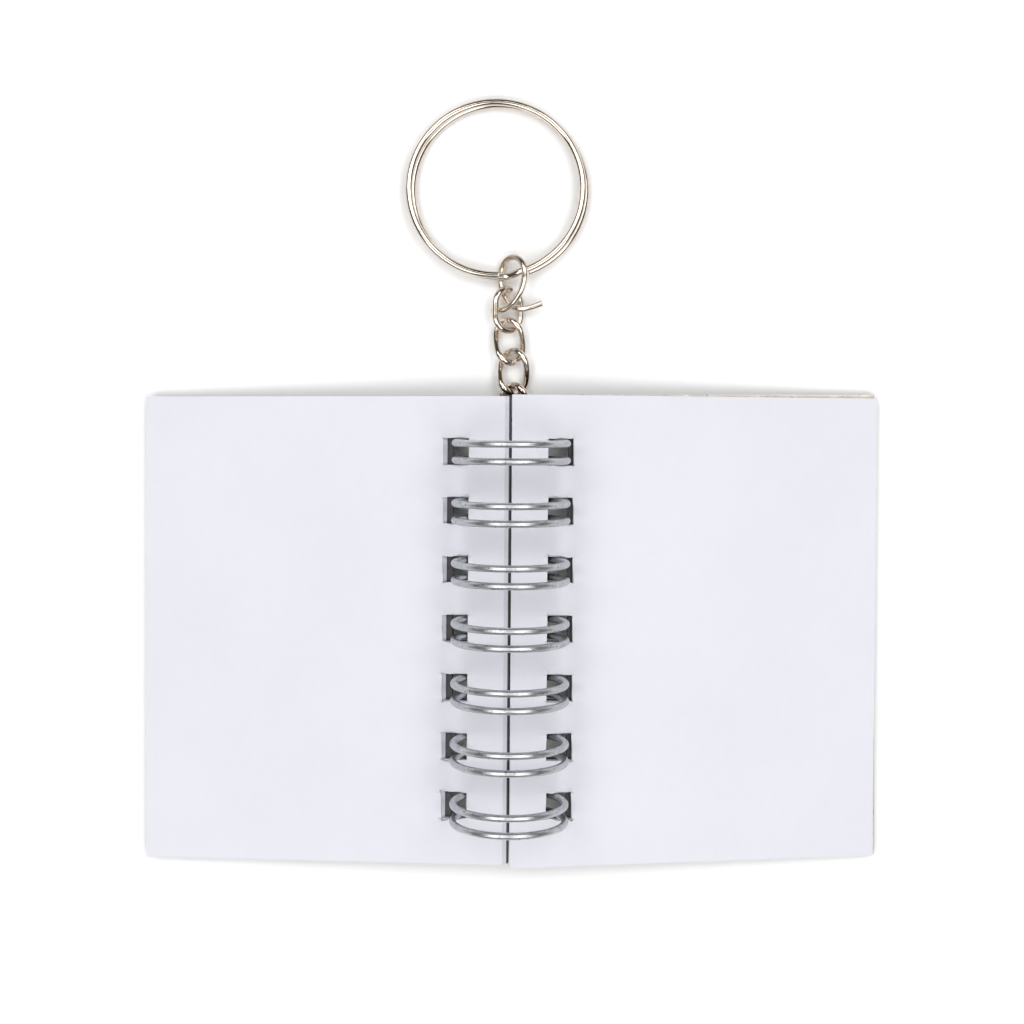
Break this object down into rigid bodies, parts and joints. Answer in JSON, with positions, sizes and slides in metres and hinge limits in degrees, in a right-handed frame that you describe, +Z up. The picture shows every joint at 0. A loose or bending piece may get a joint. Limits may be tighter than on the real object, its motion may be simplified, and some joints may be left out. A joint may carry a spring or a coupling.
{
  "type": "split key ring with mini notebook",
  "caption": "Split key ring on a short curb chain that carries a pocket wire-bound notebook, lying open flat with blank leaves.",
  "frame": {"origin": "bottom centre of the bounding box of the whole object lying open on a table", "axes": "+Z up from the table; +Y along the binding towards the split ring; +X to the right of the open book"},
  "size_m": [0.107, 0.1112, 0.018],
  "materials": {
    "nickel_wire": "polished nickel plate",
    "binding_steel": "satin coated steel wire",
    "drawing_paper": "uncoated white drawing paper",
    "recycled_board": "speckled recycled board",
    "cover_board": "matt dark covering"
  },
  "bodies": {
    "binding": {"binding_wire": "binding_steel"},
    "front_cover": {"front_cover": "cover_board"},
    "front_sheets": {"front_leaf_2": "drawing_paper", "front_leaf_3": "drawing_paper", "front_leaf_4": "drawing_paper", "front_leaf_5": "drawing_paper", "front_leaf_6": "drawing_paper", "front_leaf_7": "drawing_paper", "front_leaf_8": "drawing_paper"},
    "front_leaf": {"front_leaf_1": "drawing_paper"},
    "back_cover": {"back_cover": "cover_board"},
    "back_sheets": {"backing_board": "recycled_board", "back_leaf_2": "drawing_paper", "back_leaf_3": "drawing_paper", "back_leaf_4": "drawing_paper", "back_leaf_5": "drawing_paper"},
    "back_leaf": {"back_leaf_1": "drawing_paper"},
    "connector_ring": {"connector_ring": "nickel_wire"},
    "chain_link_4": {"chain_link_4": "nickel_wire"},
    "chain_link_3": {"chain_link_3": "nickel_wire"},
    "chain_link_2": {"chain_link_2": "nickel_wire"},
    "chain_link_1": {"chain_link_1": "nickel_wire"},
    "jump_ring": {"jump_ring": "nickel_wire"},
    "split_ring": {"split_ring": "nickel_wire"}
  },
  "joints": [
    {"name": "front_cover_hinge", "type": "hinge", "parent": "binding", "child": "front_cover", "pos_m": [-0.00011, -0.02124, 0.00962], "axis": [0, 1, 0], "range_deg": [0, 85]},
    {"name": "front_sheets_hinge", "type": "hinge", "parent": "front_cover", "child": "front_sheets", "pos_m": [-0.00011, -0.02124, 0.00962], "axis": [0, 1, 0], "range_deg": [0, 25]},
    {"name": "front_leaf_hinge", "type": "hinge", "parent": "front_sheets", "child": "front_leaf", "pos_m": [-0.00011, -0.02124, 0.00962], "axis": [0, 1, 0], "range_deg": [0, 80]},
    {"name": "back_cover_hinge", "type": "hinge", "parent": "binding", "child": "back_cover", "pos_m": [-0.00011, -0.02124, 0.00962], "axis": [0, 1, 0], "range_deg": [-85, 0]},
    {"name": "back_sheets_hinge", "type": "hinge", "parent": "back_cover", "child": "back_sheets", "pos_m": [-0.00011, -0.02124, 0.00962], "axis": [0, 1, 0], "range_deg": [-25, 0]},
    {"name": "back_leaf_hinge", "type": "hinge", "parent": "back_sheets", "child": "back_leaf", "pos_m": [-0.00011, -0.02124, 0.00962], "axis": [0, 1, 0], "range_deg": [-80, 0]},
    {"name": "connector_swing", "type": "hinge", "parent": "binding", "child": "connector_ring", "pos_m": [0.00024, 0.00536, 0.00172], "axis": [1, 0, 0], "range_deg": [-20, 4]},
    {"name": "link_4_swing", "type": "hinge", "parent": "connector_ring", "child": "chain_link_4", "pos_m": [0.00024, 0.00874, 0.00197], "axis": [0.766, 0, 0.6428], "range_deg": [-45, 15]},
    {"name": "link_3_swing", "type": "hinge", "parent": "chain_link_4", "child": "chain_link_3", "pos_m": [0.00018, 0.01369, 0.00144], "axis": [-0.7071, 0, -0.7071], "range_deg": [-45, 45]},
    {"name": "link_2_swing", "type": "hinge", "parent": "chain_link_3", "child": "chain_link_2", "pos_m": [0.00012, 0.01874, 0.00142], "axis": [0.7071, 0, 0.7071], "range_deg": [-45, 25]},
    {"name": "link_1_swing", "type": "hinge", "parent": "chain_link_2", "child": "chain_link_1", "pos_m": [-0.00095, 0.02321, 0.00144], "axis": [-0.7002, -0.0984, -0.7071], "range_deg": [-45, 45]},
    {"name": "jump_ring_swing", "type": "hinge", "parent": "chain_link_1", "child": "jump_ring", "pos_m": [-0.00071, 0.02769, 0.00167], "axis": [0.8572, 0, -0.515], "range_deg": [-8, 2.5]},
    {"name": "split_ring_flip", "type": "hinge", "parent": "jump_ring", "child": "split_ring", "pos_m": [-0.00028, 0.02978, 0.00182], "axis": [1, 0, 0], "range_deg": [-60, 110]}
  ]
}
